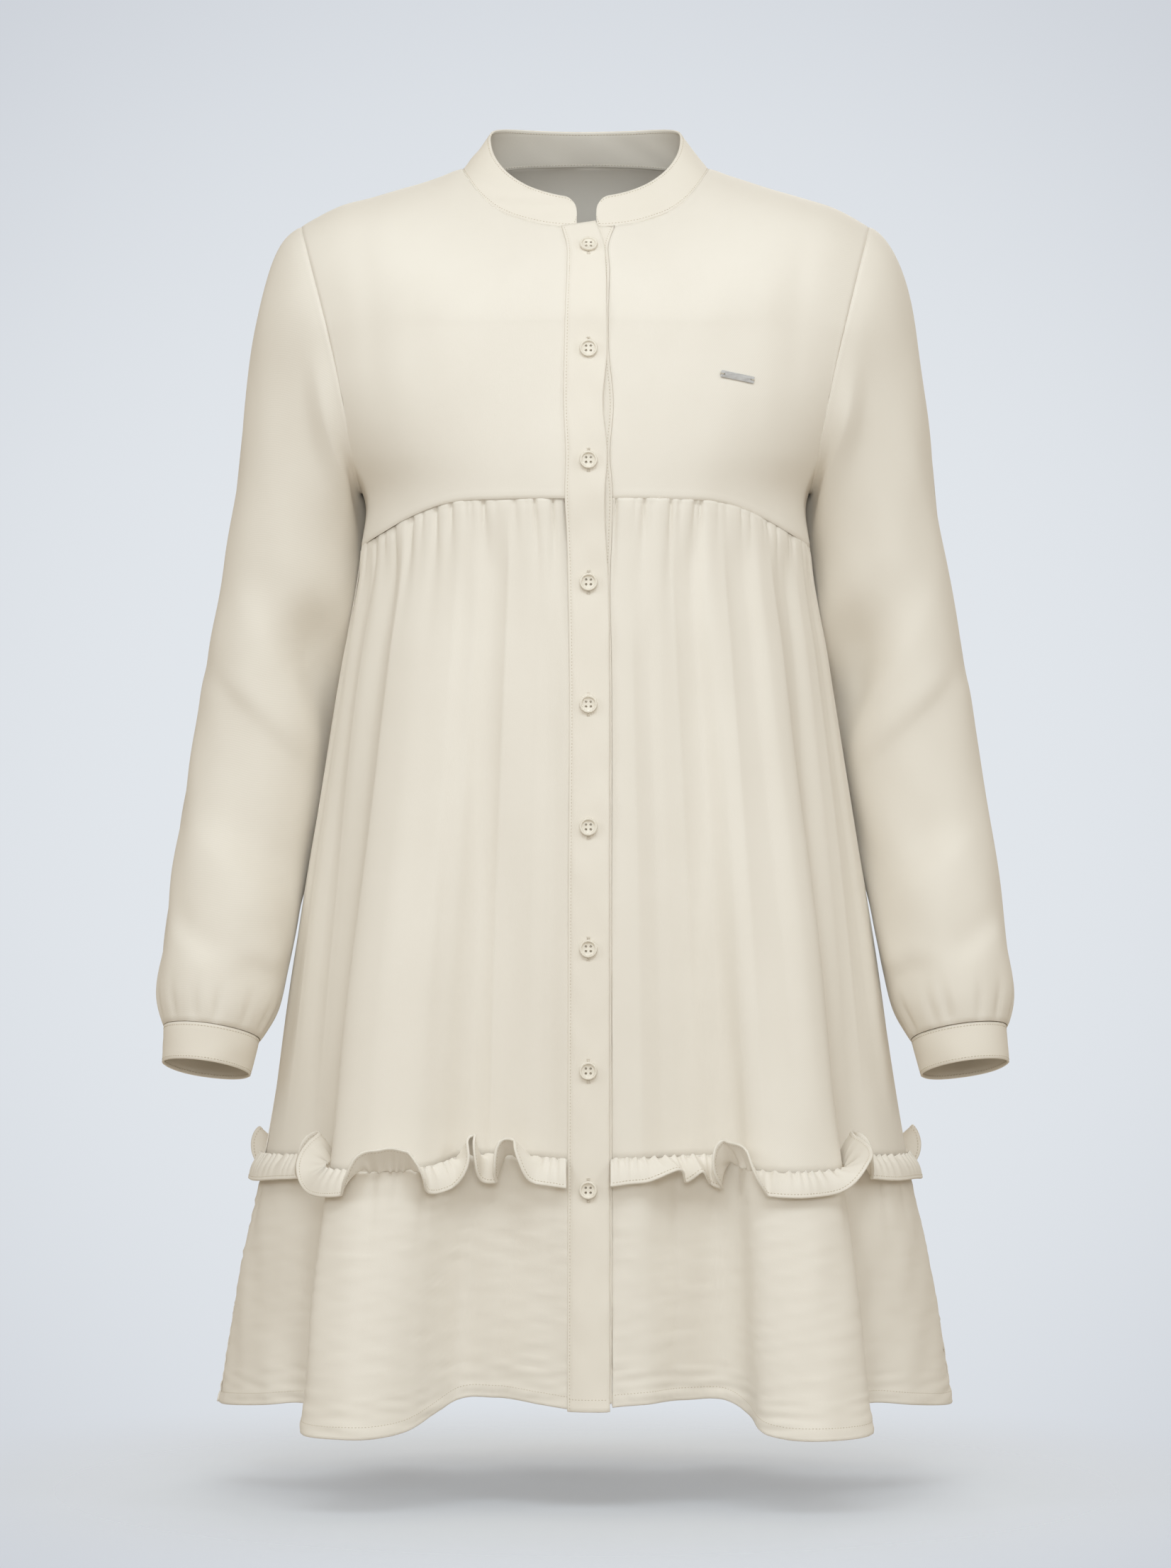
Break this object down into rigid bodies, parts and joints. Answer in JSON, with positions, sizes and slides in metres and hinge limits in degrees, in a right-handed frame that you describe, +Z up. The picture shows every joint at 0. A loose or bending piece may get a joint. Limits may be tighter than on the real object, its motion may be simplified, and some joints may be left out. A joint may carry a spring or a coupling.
{
  "type": "tunic top",
  "caption": "Long-sleeved tunic top with a band collar, buttoned placket, gathered skirt, ruffle strip and flared hem tier, hollow and filled out as if worn.",
  "frame": {"origin": "midway between the two points where the shoulder seams meet the collar, where the wearer's shoulders carry the garment", "axes": "+Z up along the garment, the front faces -Y, +X is the wearer's left"},
  "size_m": [0.5912, 0.3725, 0.8892],
  "materials": {
    "crepe": "matt, soft low sheen",
    "button": "satin",
    "bar": "polished"
  },
  "bodies": {
    "root": {"front_bodice_right": "crepe", "front_bodice_left": "crepe", "back_bodice": "crepe", "front_skirt_right": "crepe", "front_skirt_left": "crepe", "back_skirt": "crepe", "ruffle_front_right": "crepe", "ruffle_front_left": "crepe", "ruffle_back": "crepe", "tier_front_right": "crepe", "tier_front_left": "crepe", "tier_back": "crepe", "collar": "crepe", "placket_over": "crepe", "placket_under": "crepe", "sleeve_right": "crepe", "sleeve_left": "crepe", "cuff_right": "crepe", "cuff_left": "crepe", "button_1": "button", "button_2": "button", "button_3": "button", "button_4": "button", "button_5": "button", "button_6": "button", "button_7": "button", "button_8": "button", "button_9": "button", "name_bar": "bar"}
  },
  "joints": []
}
